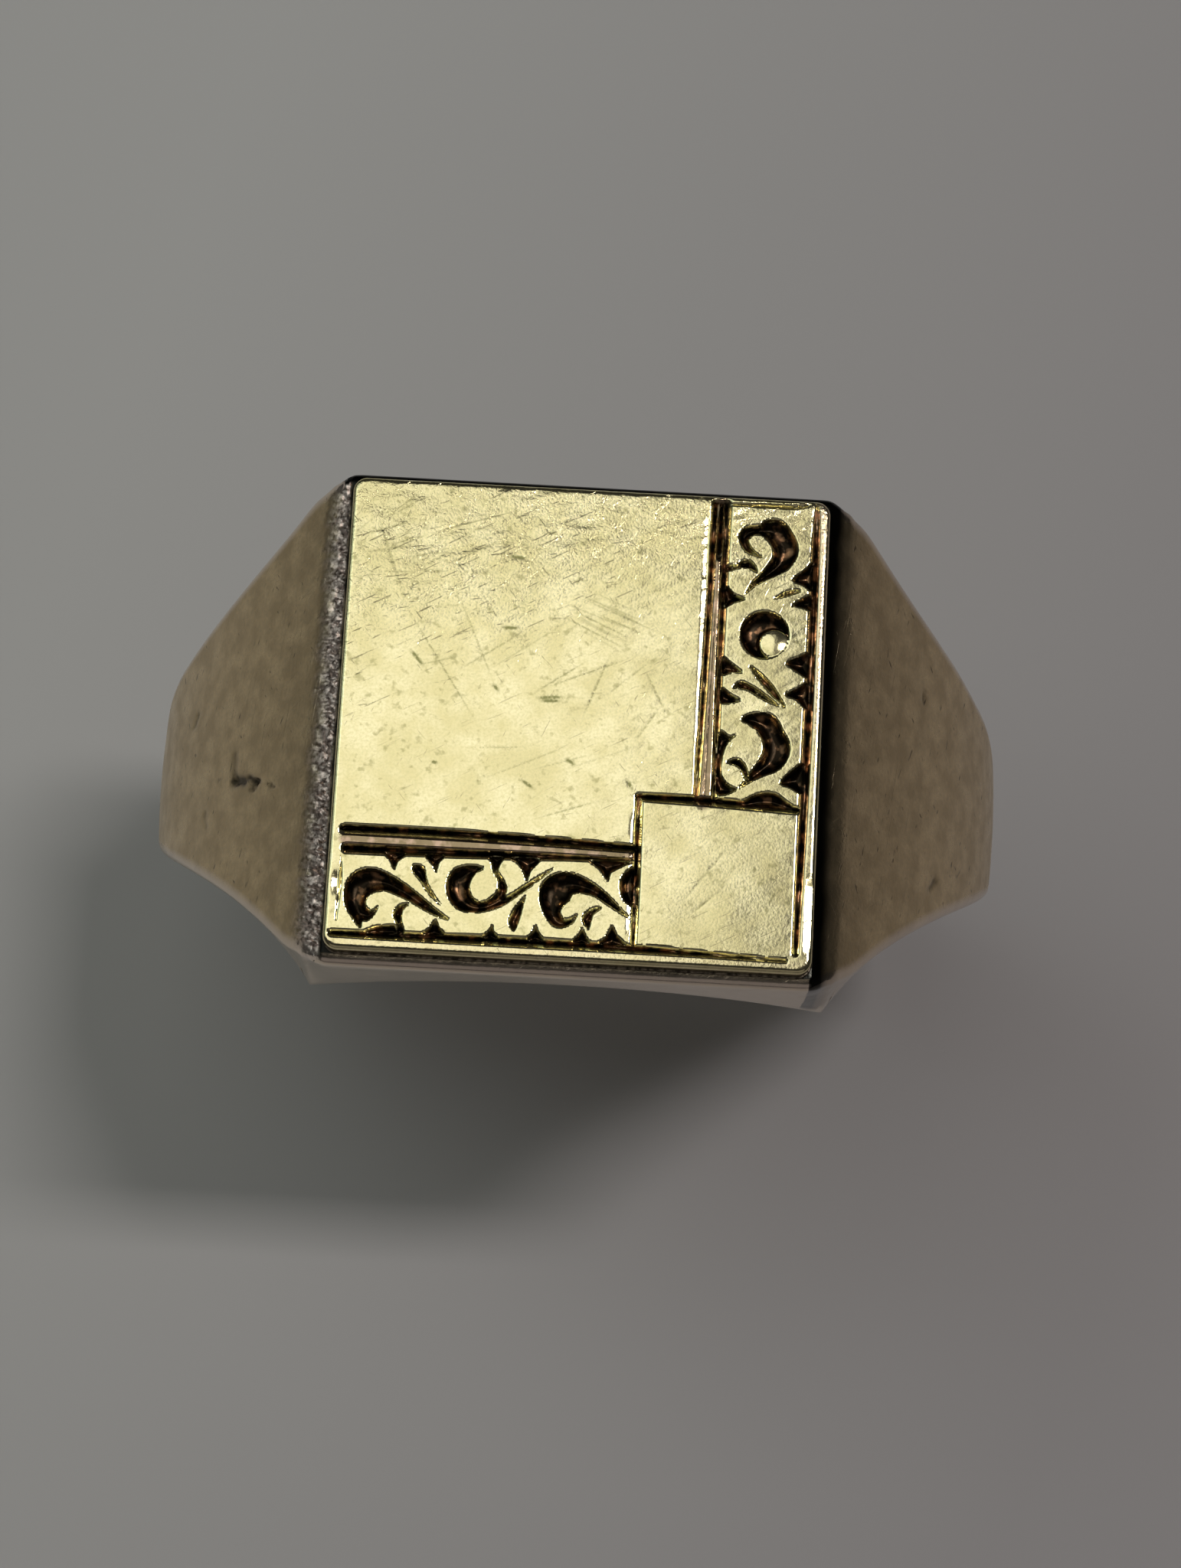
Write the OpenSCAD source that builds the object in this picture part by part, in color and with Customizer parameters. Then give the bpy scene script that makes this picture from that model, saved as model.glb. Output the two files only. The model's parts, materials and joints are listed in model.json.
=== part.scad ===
// Square-headed signet ring: an engraved plate soldered on a tapering head and shank.
// Millimetres. The origin is the middle of the finger hole. X runs across the head,
// Y runs along the finger and Z points out through the engraved table.

/* [Finger hole] */
// Diameter of the finger hole
finger_d = 20; // [19:0.1:21]

/* [Engraved plate] */
// Side of the square plate
plate_w = 12; // [11.6:0.1:12.2]
// Thickness of the plate
plate_t = 0.6; // [0.5:0.05:0.8]
// Radius of the plate's corners
plate_corner_r = 0.35; // [0.2:0.05:0.6]
// Depth of the straight graver lines
line_depth = 0.12; // [0.08:0.01:0.2]
// Depth of the round pits in the scroll borders
pit_depth = 0.2; // [0.1:0.01:0.3]
// Width of each scroll border
border_w = 2; // [1.8:0.05:2.1]
// Side of the small plain square in the corner
corner_square = 3.6; // [3.2:0.1:3.9]
// Width of the plain rim outside the borders
rim_w = 0.4; // [0.3:0.05:0.5]

/* [Head] */
// Thickness of the head over the finger hole, with its plate
head_t = 2.2; // [2:0.05:2.6]
// Width of the head along the finger
head_w = 12.6; // [12.5:0.1:13]
// Length of the head across the finger, at the top of the shoulders
head_l = 13.2; // [12.8:0.1:13.6]
// Drop of the filed bevel round the top of the head
bevel_drop = 0.3; // [0.2:0.05:0.5]

/* [Shoulders and shank] */
// Radius of the shoulders' slight outward curve
shoulder_r = 22; // [18:1:40]
// Wall thickness at the sides of the finger
side_t = 1.65; // [1.4:0.05:1.9]
// Wall thickness at the back of the finger
back_t = 1.35; // [1.1:0.05:1.4]
// Width of the band's outer face at the sides of the finger
side_w = 3.4; // [3:0.1:4]
// Width of the finger hole's rim at the sides of the finger
rim_side_w = 4.8; // [4:0.1:5.2]
// Width of the band at the back of the finger
back_w = 3; // [2.6:0.1:3.4]
// Softened corner along the band's outer edges
edge_soft = 0.25; // [0.15:0.05:0.3]
// Height of the crown across the outside of the band
crown = 0.1; // [0.05:0.05:0.15]
// Angle of each shank joint below the middle of the ring, degrees
seam_angle = 30; // [20:1:40]

/* [Solder] */
// Thickness of each film of solder
solder_t = 0.08; // [0.06:0.01:0.1]

/* [Hidden] */
PLATE_GOLD = [0.86, 0.8, 0.56];
BODY_GOLD = [0.72, 0.6, 0.42];
SOLDER = [0.56, 0.5, 0.38];

finger_r = finger_d / 2;
table_z = finger_r + head_t;
body_top = table_z - plate_t - solder_t;
reach = 2 * finger_r;      // further out than any part of the ring
clear = 0.5;               // how far a cutter stands out of what it cuts
ledge = 0.05;              // flat left on the head outside the plate
solder_inset = 0.02;       // the plate's solder stops just short of its edge
line_w = 0.2;              // width of a straight graver line
nick_r = 0.16;             // size of the nicks along the edges of the borders
ruled_past_bore = 1.15;    // side walls run this far along their rulings, to be bored

// Outline seen along the finger: the shank's circle sits a little above the finger hole's,
// and each shoulder is an arc that meets that circle without a corner.
shank_r = finger_r + side_t;
shank_lift = side_t - back_t;
shoulder_x = head_l / 2;
shoulder_z = body_top - bevel_drop;
shoulder_angle = atan2(shoulder_z, shoulder_x);
shoulder_from_shank = [shoulder_x, shoulder_z - shank_lift];
arc_offset = shoulder_r - shank_r;
tangent_cos = (shoulder_r ^ 2 - arc_offset ^ 2 - norm(shoulder_from_shank) ^ 2)
  / (2 * arc_offset * norm(shoulder_from_shank));
tangent_dir = atan2(shoulder_from_shank[1], shoulder_from_shank[0]) - acos(tangent_cos);
tangent_point = [
  shank_r * cos(tangent_dir), shank_r * sin(tangent_dir) + shank_lift
];
tangent_angle = atan2(tangent_point[1], tangent_point[0]);
arc_centre = [
  -arc_offset * cos(tangent_dir), shank_lift - arc_offset * sin(tangent_dir)
];

// Distance from the finger hole's axis to a circle (c, r), in the direction a
function to_circle(a, c, r) =
  let (along = c[0] * cos(a) + c[1] * sin(a))
  along + sqrt(r ^ 2 - c * c + along ^ 2);

function outer_radius(a) =
  a > tangent_angle ? to_circle(a, arc_centre, shoulder_r)
                    : to_circle(a, [0, shank_lift], shank_r);

// Half widths of the band's outer face, at the angle a above the middle of the ring, and of
// the finger hole's rim, at the angle b. Both flare out into the head.
steep = 0.25;              // share of the flare that comes in the last stretch under the head
function flare(t, power) = (1 - steep) * pow(t, power) + steep * pow(t, 6);
function outer_half(a) =
  a > 0 ? side_w / 2 + (head_w - side_w) / 2 * flare(a / shoulder_angle, 1.3)
        : side_w / 2 + (back_w - side_w) / 2 * -a / 90;
function rim_half(b) =
  b > 0 ? rim_side_w / 2 + (head_w - rim_side_w) / 2 * flare(b / corner_bore_angle, 1.5)
        : back_w / 2 + (rim_side_w - back_w) / 2 * pow(max(0, 1 + b / 90), 2.2);

// The side walls are ruled from the outer face to the rim of the finger hole. They stand
// upright at the head's corners and square to the band from the middle of the ring down.
corner_bore_angle = acos(shoulder_x / finger_r);
function bore_angle(a) = a > 0 ? a * corner_bore_angle / shoulder_angle : a;

// One section of the ring: outer point p, bore angle b, half widths w and wb, crown height h
function section(p, b, w, wb, h) =
  let (
    bore = finger_r * [cos(b), sin(b)],
    inward = (bore - p) / norm(bore - p),
    inner = p + (bore - p) * ruled_past_bore,
    inner_w = w + (wb - w) * ruled_past_bore,
    soft = p + inward * edge_soft,
    flank = p + inward * h
  )
  [
    [inner[0], -inner_w, inner[1]],
    [soft[0], -w, soft[1]],
    [flank[0], edge_soft - w, flank[1]],
    [p[0], 0, p[1]],
    [flank[0], w - edge_soft, flank[1]],
    [soft[0], w, soft[1]],
    [inner[0], inner_w, inner[1]]
  ];

function head_section(x, z) =
  section([x, z], acos(x / finger_r), head_w / 2, head_w / 2, 0);

function band_section(a) =
  let (
    r = outer_radius(a),
    b = bore_angle(a),
    grown = min(1, 1 - a / shoulder_angle)
  )
  section([r * cos(a), r * sin(a)], b, outer_half(a), rim_half(b), crown * grown);

band_steps = 30;
bevel_x = plate_w / 2 + ledge;
right_sections = concat(
  [head_section(bevel_x, body_top)],
  [
    for (k = [0 : band_steps])
      band_section(shoulder_angle - (shoulder_angle + 90) * k / band_steps)
  ]
);
left_sections = [
  for (k = [len(right_sections) - 2 : -1 : 0])
    [for (p = right_sections[k]) [-p[0], p[1], p[2]]]
];
ring_sections = concat(right_sections, left_sections);

module ring_blank() {
  m = len(ring_sections[0]);
  n = len(ring_sections);
  difference() {
    polyhedron(
      points = [for (s = ring_sections) each s],
      faces = [
        for (i = [0 : n - 1], j = [0 : m - 1])
          [
            i * m + j, i * m + (j + 1) % m,
            ((i + 1) % n) * m + (j + 1) % m, ((i + 1) % n) * m + j
          ]
      ]
    );
    rotate([90, 0, 0])
      cylinder(d = finger_d, h = head_w + 2 * clear, center = true, $fn = 180);
  }
}

// The outline of a wedge seen along the finger, as a solid right through the ring
module slab_through(outline) {
  rotate([90, 0, 0])
    linear_extrude(height = head_w + 2 * clear, center = true)
      polygon(outline);
}

seam_shift = solder_t / 2 / cos(seam_angle);
seam_fall = reach * tan(seam_angle);

module head() {
  color(BODY_GOLD)
    intersection() {
      ring_blank();
      slab_through([
        [0, seam_shift], [reach, seam_shift - seam_fall], [reach, reach],
        [-reach, reach], [-reach, seam_shift - seam_fall]
      ]);
    }
}

module shank() {
  color(BODY_GOLD)
    intersection() {
      ring_blank();
      slab_through([
        [0, -seam_shift], [-reach, -seam_shift - seam_fall], [-reach, -2 * reach],
        [reach, -2 * reach], [reach, -seam_shift - seam_fall]
      ]);
    }
}

module seam_solder(side) {
  color(SOLDER)
    intersection() {
      ring_blank();
      slab_through([
        [0, seam_shift], [0, -seam_shift],
        [side * reach, -seam_shift - seam_fall], [side * reach, seam_shift - seam_fall]
      ]);
    }
}

module left_seam_solder() {
  seam_solder(-1);
}

module right_seam_solder() {
  seam_solder(1);
}

module rounded_square(w, r) {
  square([w, w - 2 * r], center = true);
  square([w - 2 * r, w], center = true);
  for (x = [-1, 1], y = [-1, 1])
    translate([x * (w / 2 - r), y * (w / 2 - r)])
      circle(r = r, $fn = 32);
}

module plate_solder() {
  color(SOLDER)
    translate([0, 0, body_top])
      linear_extrude(height = solder_t)
        rounded_square(plate_w - 2 * solder_inset, plate_corner_r);
}

// A straight cut with a V-shaped bottom from point a to point b of the table
module graver_line(a, b) {
  run = b - a;
  side = line_w / 2;
  translate([a[0], a[1], 0])
    rotate([0, 0, atan2(run[1], run[0])])
      rotate([90, 0, 90])
        linear_extrude(height = norm(run))
          polygon([[-side, 0], [0, -line_depth], [side, 0], [side, clear], [-side, clear]]);
}

// A round pit with a small ball of metal left standing in it
module scroll_pit(r) {
  ball_r = r * 0.5;
  difference() {
    translate([0, 0, -pit_depth])
      cylinder(r1 = r * 0.7, r2 = r, h = pit_depth, $fn = 48);
    rotate([0, 0, -20])
      translate([r * 0.4, 0, -pit_depth])
        cylinder(r = ball_r, h = pit_depth, $fn = 32);
  }
  cylinder(r = r, h = clear, $fn = 48);
}

// Running border, drawn from its outer end towards the corner square. Its rim side is y = 0.
// Each repeat is a pit, a long leaf and a short leaf, given as shares of its length and width.
module scroll_border(length) {
  repeats = 3;
  pitch = length / repeats;
  long_leaf = [[0.62, 0.78], [0.92, 0.28]];
  short_leaf = [[0.58, 0.12], [0.78, 0.36]];
  for (k = [0 : repeats - 1])
    translate([pitch * k, 0, 0]) {
      translate([pitch * 0.3, border_w * 0.52, 0])
        scroll_pit(border_w * 0.29);
      for (leaf = [long_leaf, short_leaf])
        graver_line(
          [pitch * leaf[0][0], border_w * leaf[0][1]],
          [pitch * leaf[1][0], border_w * leaf[1][1]]
        );
      for (share = [0.45, 0.95], y = [0, border_w])
        translate([pitch * share, y, -line_depth])
          cylinder(r = nick_r, h = line_depth + clear, $fn = 4);
    }
}

module table_plate() {
  rim = plate_w / 2 - rim_w;                   // middle of the rim's line
  border_in = rim - line_w / 2 - border_w;     // inner side of each border
  square_in = rim - line_w / 2 - corner_square;
  color(PLATE_GOLD)
    translate([0, 0, body_top + solder_t])
      difference() {
        linear_extrude(height = plate_t)
          rounded_square(plate_w, plate_corner_r);
        translate([0, 0, plate_t]) {
          // rim lines along the lower and right edges
          graver_line([-rim, -rim], [rim, -rim]);
          graver_line([rim, -rim], [rim, rim]);
          // double lines between the plain field and the borders
          for (k = [0, 1]) {
            inset = border_in - line_w * (k + 0.5);
            graver_line([-rim, -inset], [square_in, -inset]);
            graver_line([inset, -square_in], [inset, rim]);
          }
          // frame of the corner square
          graver_line([square_in, -rim], [square_in, -square_in + line_w / 2]);
          graver_line([square_in - line_w / 2, -square_in], [rim, -square_in]);
          // scroll borders
          translate([-rim, -rim + line_w / 2, 0])
            scroll_border(rim + square_in - line_w);
          translate([rim - line_w / 2, rim, 0])
            mirror([0, 1, 0])
              rotate([0, 0, 90])
                scroll_border(rim + square_in - line_w);
        }
      }
}

table_plate();
plate_solder();
head();
shank();
left_seam_solder();
right_seam_solder();
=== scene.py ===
import json
import math

import bpy
import numpy as np
from mathutils import Matrix, Vector
from mathutils.geometry import delaunay_2d_cdt


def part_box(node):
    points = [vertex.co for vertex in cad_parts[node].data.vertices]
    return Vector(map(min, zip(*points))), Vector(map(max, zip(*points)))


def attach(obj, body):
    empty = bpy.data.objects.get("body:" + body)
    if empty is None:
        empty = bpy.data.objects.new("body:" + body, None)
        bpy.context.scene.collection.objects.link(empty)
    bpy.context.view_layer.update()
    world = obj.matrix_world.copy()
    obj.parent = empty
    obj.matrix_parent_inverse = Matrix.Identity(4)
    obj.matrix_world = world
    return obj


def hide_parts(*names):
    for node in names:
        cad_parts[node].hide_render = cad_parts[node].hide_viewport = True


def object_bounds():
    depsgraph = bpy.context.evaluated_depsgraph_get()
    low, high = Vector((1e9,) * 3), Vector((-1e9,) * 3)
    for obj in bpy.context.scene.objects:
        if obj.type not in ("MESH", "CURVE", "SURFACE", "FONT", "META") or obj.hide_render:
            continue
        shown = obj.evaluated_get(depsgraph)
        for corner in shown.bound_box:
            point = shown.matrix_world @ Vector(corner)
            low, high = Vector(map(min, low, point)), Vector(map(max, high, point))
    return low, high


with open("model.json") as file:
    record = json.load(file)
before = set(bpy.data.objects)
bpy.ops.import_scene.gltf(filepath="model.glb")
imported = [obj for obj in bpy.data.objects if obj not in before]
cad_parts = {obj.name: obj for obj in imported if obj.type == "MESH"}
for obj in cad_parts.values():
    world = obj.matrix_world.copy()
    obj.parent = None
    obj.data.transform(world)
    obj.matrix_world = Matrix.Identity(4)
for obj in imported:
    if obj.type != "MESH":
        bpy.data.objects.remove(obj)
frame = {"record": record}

CAD_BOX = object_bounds()

# ----- Sizes, in millimetres
# X runs across the head, Y along the finger and Z out through the table, from the middle of the hole.

MM = 0.001


def box_mm(node):
    """Lowest and highest corner of a CAD node, in millimetres."""
    low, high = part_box(node)
    return np.array(low) / MM, np.array(high) / MM


MOUNTS = {m["name"]: m for m in frame["record"]["mounts"]}
FINGER_R = MOUNTS["finger_bore"]["dims"]["r_mm"]
PLATE_LOW, PLATE_HIGH = box_mm("table_plate")
HEAD_HIGH = box_mm("head")[1]
SHANK_LOW = box_mm("shank")[0]

PLATE_HALF = PLATE_HIGH[0]
TABLE_Z = PLATE_HIGH[2]
PLATE_T = TABLE_Z - PLATE_LOW[2]
SOLDER_T = PLATE_LOW[2] - HEAD_HIGH[2]
BODY_TOP = HEAD_HIGH[2]
HEAD_HALF_W = HEAD_HIGH[1]

HEAD_HALF_L = 6.6  # to the top edge of each shoulder
BEVEL_DROP = 0.3
SHOULDER_R = 22.0  # radius of the shoulders' outward curve
SIDE_T = HEAD_HIGH[0] - FINGER_R
BACK_T = -SHANK_LOW[2] - FINGER_R
SIDE_HALF_W = 1.7  # outside, at the middle of each side
RIM_SIDE_HALF_W = 2.4  # the same at the finger hole
BACK_HALF_W = 1.5
CROWN = 0.1  # rise of the band's outer face over its edges
CORNER_WEAR = 0.26  # rounding of the head's upright corners
SEAM_ANGLE = math.radians(30)  # each shank joint, below the middle of the hole
SEAM_HALF_ANGLE = 0.04 / 10.8  # half a film of solder, at the middle of the wall


# ----- Outline of the ring seen along the finger

SHANK_R = FINGER_R + SIDE_T
SHANK_LIFT = SIDE_T - BACK_T
SHOULDER_Z = BODY_TOP - BEVEL_DROP
SHOULDER_ANGLE = math.atan2(SHOULDER_Z, HEAD_HALF_L)
CORNER_BORE_ANGLE = math.acos(HEAD_HALF_L / FINGER_R)


def shoulder_arc():
    """Centre of the shoulder's arc, and the angle where it runs into the shank's circle."""
    start = Vector((HEAD_HALF_L, SHOULDER_Z - SHANK_LIFT))
    offset = SHOULDER_R - SHANK_R
    turn = math.acos((SHOULDER_R ** 2 - offset ** 2 - start.length_squared) / (2 * offset * start.length))
    way = math.atan2(start.y, start.x) - turn
    tangent = (SHANK_R * math.cos(way), SHANK_R * math.sin(way) + SHANK_LIFT)
    centre = (-offset * math.cos(way), SHANK_LIFT - offset * math.sin(way))
    return centre, math.atan2(tangent[1], tangent[0])


ARC_CENTRE, TANGENT_ANGLE = shoulder_arc()


def to_circle(a, centre, r):
    """Distance from the origin to a circle, in the direction a."""
    along = centre[0] * np.cos(a) + centre[1] * np.sin(a)
    return along + np.sqrt(r ** 2 - centre[0] ** 2 - centre[1] ** 2 + along ** 2)


def outer_radius(a):
    """Distance from the origin to the ring's outer face, at angles up from the X axis."""
    return np.where(
        a > TANGENT_ANGLE,
        to_circle(a, ARC_CENTRE, SHOULDER_R),
        to_circle(a, (0.0, SHANK_LIFT), SHANK_R),
    )


def flare(t, power):
    """How the ring widens from its side up to the head, as t goes from 0 to 1."""
    return 0.75 * t ** power + 0.25 * t ** 6


def outer_half_width(a):
    """Half the ring's width along the finger, on its outer face."""
    up = np.clip(a / SHOULDER_ANGLE, 0, 1)
    down = np.clip(-a, 0, None) / (math.pi / 2)
    return (
        SIDE_HALF_W
        + (HEAD_HALF_W - SIDE_HALF_W) * flare(up, 1.3)
        + (BACK_HALF_W - SIDE_HALF_W) * down
    )


def corner_wear(x, z):
    """How far the head's upright corners are rounded back at a place on its outline."""
    return np.where(z > 0, CORNER_WEAR * np.exp(-((np.abs(x) - HEAD_HALF_L) / 0.35) ** 2), 0)


def rim_half_width(b):
    """Half the ring's width along the finger, at the finger hole."""
    up = np.clip(b / CORNER_BORE_ANGLE, 0, 1)
    down = 1 - np.clip(-b, 0, None) / (math.pi / 2)
    low = BACK_HALF_W + (RIM_SIDE_HALF_W - BACK_HALF_W) * down ** 2.2
    return np.where(b > 0, RIM_SIDE_HALF_W + (HEAD_HALF_W - RIM_SIDE_HALF_W) * flare(up, 1.5), low)


def spaced(stops, counts):
    """Values through the stops, with a count of steps between each pair."""
    parts = [np.linspace(a, b, n, endpoint=False) for a, b, n in zip(stops, stops[1:], counts)]
    return np.concatenate(parts + [[stops[-1]]])


def rounded_corner(before, corner, after, radius, steps):
    """Points that round a corner of an outline."""
    corner = np.array(corner)
    to_before = np.array(before) - corner
    to_after = np.array(after) - corner
    a = corner + to_before / np.linalg.norm(to_before) * radius
    c = corner + to_after / np.linalg.norm(to_after) * radius
    t = np.linspace(0, 1, steps)[:, None]
    return (1 - t) ** 2 * a + 2 * t * (1 - t) * corner + t ** 2 * c


def head_outline():
    """Outer points (x, z) and bore angles from the middle of the head to the right seam."""
    top_edge = (PLATE_HALF + 0.05, BODY_TOP)
    shoulder = (HEAD_HALF_L, SHOULDER_Z)
    seam = -SEAM_ANGLE + SEAM_HALF_ANGLE
    a = spaced((SHOULDER_ANGLE - math.radians(1.6), TANGENT_ANGLE, 0, seam), (54, 16, 12))
    r = outer_radius(a)
    below = np.stack([r * np.cos(a), r * np.sin(a)], 1)
    flat = [(x, BODY_TOP) for x in np.linspace(0, 5.85, 14)]
    edge = rounded_corner(flat[-1], top_edge, shoulder, 0.07, 6)
    corner = rounded_corner(top_edge, shoulder, below[0], 0.28, 8)
    bevel = np.linspace(edge[-1], corner[0], 12)[1:-1]
    points = np.concatenate([flat, edge, bevel, corner, below])
    n_top = len(points) - len(below)
    top_b = np.arccos(points[:n_top, 0] / FINGER_R)
    low_b = np.where(a > 0, a * CORNER_BORE_ANGLE / SHOULDER_ANGLE, a)
    own = np.arctan2(points[:, 1], points[:, 0])
    return points, np.minimum(own, SHOULDER_ANGLE), np.concatenate([top_b, low_b])


def shank_outline():
    """Outer points (x, z) and bore angles from the right seam to the middle of the back."""
    a = np.linspace(-SEAM_ANGLE - SEAM_HALF_ANGLE, -math.pi / 2, 60)
    r = outer_radius(a)
    return np.stack([r * np.cos(a), r * np.sin(a)], 1), a, a


EDGE_R = 0.28  # rounding between the outer face and the sides
RIM_R = 0.12  # rounding between the sides and the finger hole


def section_loop(p, a, b, n_face=300, n_side=8, n_arc=7, n_bore=20):
    """One closed section: outer face, side wall, bore and the other side wall."""
    w = float(outer_half_width(a) - corner_wear(*p))
    wb = float(rim_half_width(b))
    bore = FINGER_R * np.array([math.cos(b), math.sin(b)])
    depth = np.linalg.norm(bore - p)
    inward = (bore - p) / depth
    crown = CROWN * min(1, max(0, 1 - a / SHOULDER_ANGLE))
    # right half of the section as (y, depth) pairs, from the middle of the face to the bore
    face_y = np.linspace(0, w - EDGE_R, n_face // 2 + 1)
    face = np.stack([face_y, crown * (face_y / w) ** 2], 1)
    side_top = (w, crown + EDGE_R)
    rim = (wb, depth)
    edge = rounded_corner(face[-1], (w, crown), rim, EDGE_R, n_arc)
    foot = rounded_corner(side_top, rim, (0, depth), RIM_R, n_arc)
    side = np.linspace(edge[-1], foot[0], n_side)[1:-1]
    bore_y = np.linspace(foot[-1][0], 0, n_bore // 2 + 1)[1:]
    inside = np.stack([bore_y, np.full(len(bore_y), depth)], 1)
    half = np.concatenate([face, edge[1:], side, foot, inside])
    other = half[-2:0:-1] * (-1, 1)
    loop = np.concatenate([half, other])
    xz = p + loop[:, 1:2] * inward
    return np.stack([xz[:, 0], loop[:, 0], xz[:, 1]], 1)


def mirrored(loops):
    """The left half of a loft from its right half, without the middle section."""
    flipped = loops[1:][::-1].copy()
    flipped[:, :, 0] *= -1
    return flipped


def loft(loops):
    """Vertices and faces of a tube through the section loops, capped at its ends."""
    n, m = loops.shape[:2]
    faces = []
    for i in range(n - 1):
        for j in range(m):
            k = (j + 1) % m
            faces.append((i * m + j, (i + 1) * m + j, (i + 1) * m + k, i * m + k))
    faces.append(tuple(range(m)))
    faces.append(tuple((n - 1) * m + j for j in reversed(range(m))))
    return loops.reshape(-1, 3), faces


def new_mesh(name, verts, faces):
    """A mesh from points in millimetres."""
    mesh = bpy.data.meshes.new(name)
    mesh.from_pydata([tuple(v) for v in np.asarray(verts) * MM], [], faces)
    return mesh


def add_object(name, data):
    """A new object in the scene."""
    thing = bpy.data.objects.new(name, data)
    bpy.context.scene.collection.objects.link(thing)
    return thing


def stand_for(piece, node):
    """The piece rides with the ring and replaces a CAD node."""
    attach(piece, "root")
    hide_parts(node)


def make_piece(name, verts, faces, material, node, smooth_angle=40):
    """A smooth mesh object from points in millimetres that stands for a CAD node."""
    mesh = new_mesh(name, verts, faces)
    mesh.validate()
    mesh.materials.append(material)
    piece = add_object(name, mesh)
    mesh.shade_smooth()
    mesh.set_sharp_from_angle(angle=math.radians(smooth_angle))
    stand_for(piece, node)
    return piece


def add_node(tree, kind, inputs=None, **settings):
    """A node with its settings, and values or links for its inputs."""
    node = tree.nodes.new(kind)
    for key, value in settings.items():
        setattr(node, key, value)
    for key, value in (inputs or {}).items():
        if isinstance(value, bpy.types.NodeSocket):
            tree.links.new(value, node.inputs[key])
        else:
            node.inputs[key].default_value = value
    return node


class Look:
    """A material in the making: its nodes, its shader and the place on the ring that they read."""

    def __init__(self, name, metallic=1):
        self.material = bpy.data.materials.new(name)
        self.material.use_nodes = True
        self.tree = self.material.node_tree
        self.shader = self.tree.nodes["Principled BSDF"]
        self.shader.inputs["Metallic"].default_value = metallic
        self.place = add_node(self.tree, "ShaderNodeTexCoord").outputs["Object"]

    def feed(self, name, value):
        """Link a value to one of the shader's inputs."""
        self.tree.links.new(value, self.shader.inputs[name])

    def attribute(self, name):
        return add_node(self.tree, "ShaderNodeAttribute", attribute_name=name).outputs["Fac"]

    def work_out(self, operation, a, b):
        return add_node(self.tree, "ShaderNodeMath", {0: a, 1: b}, operation=operation).outputs[0]

    def times(self, a, b):
        return self.work_out("MULTIPLY", a, b)

    def minus(self, a, b):
        return self.work_out("SUBTRACT", a, b)

    def plus(self, total, *others):
        for other in others:
            total = self.work_out("ADD", total, other)
        return total

    def band(self, value, low, high, to_low=0.0, to_high=1.0):
        """The value, taken from one range to another and clamped."""
        inputs = {"Value": value, "From Min": low, "From Max": high, "To Min": to_low, "To Max": to_high}
        return add_node(self.tree, "ShaderNodeMapRange", inputs, clamp=True).outputs["Result"]

    def mix(self, share, a, b):
        """A colour between a and b; each is a link or plain red, green and blue."""
        a, b = (c if isinstance(c, bpy.types.NodeSocket) else (*c, 1) for c in (a, b))
        return add_node(self.tree, "ShaderNodeMix", {0: share, 6: a, 7: b}, data_type="RGBA").outputs[2]

    def noise(self, shift, turn, scale, detail):
        """Noise from 0 to 1 on a grid that is moved, turned about Z and stretched."""
        inputs = {"Vector": self.place, "Location": shift, "Rotation": (0, 0, turn), "Scale": scale}
        spot = add_node(self.tree, "ShaderNodeMapping", inputs, vector_type="TEXTURE").outputs[0]
        inputs = {"Vector": spot, "Scale": 1.0, "Detail": detail}
        return add_node(self.tree, "ShaderNodeTexNoise", inputs).outputs[0]

    def mottle(self, size, detail=2.0, shift=0.0):
        """Cloudy noise from 0 to 1, with patches of a size in millimetres."""
        return self.noise((shift * MM, 0, 0), 0, (size * MM,) * 3, detail)

    def scratches(self, degrees, length, width, rare, shift=0.0):
        """Fine lines in one direction, from 0 to 1; the rarer, the fewer of them."""
        scale = (length * MM, width * MM, length * MM)
        lines = self.noise((shift * MM, shift * MM, 0), math.radians(degrees), scale, 1.0)
        return self.band(lines, rare, rare + 0.08)

    def relief(self, height, depth):
        """Shallow relief on the surface, with its depth in millimetres."""
        inputs = {"Height": height, "Strength": 1.0, "Distance": depth * MM}
        self.feed("Normal", add_node(self.tree, "ShaderNodeBump", inputs).outputs[0])


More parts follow.
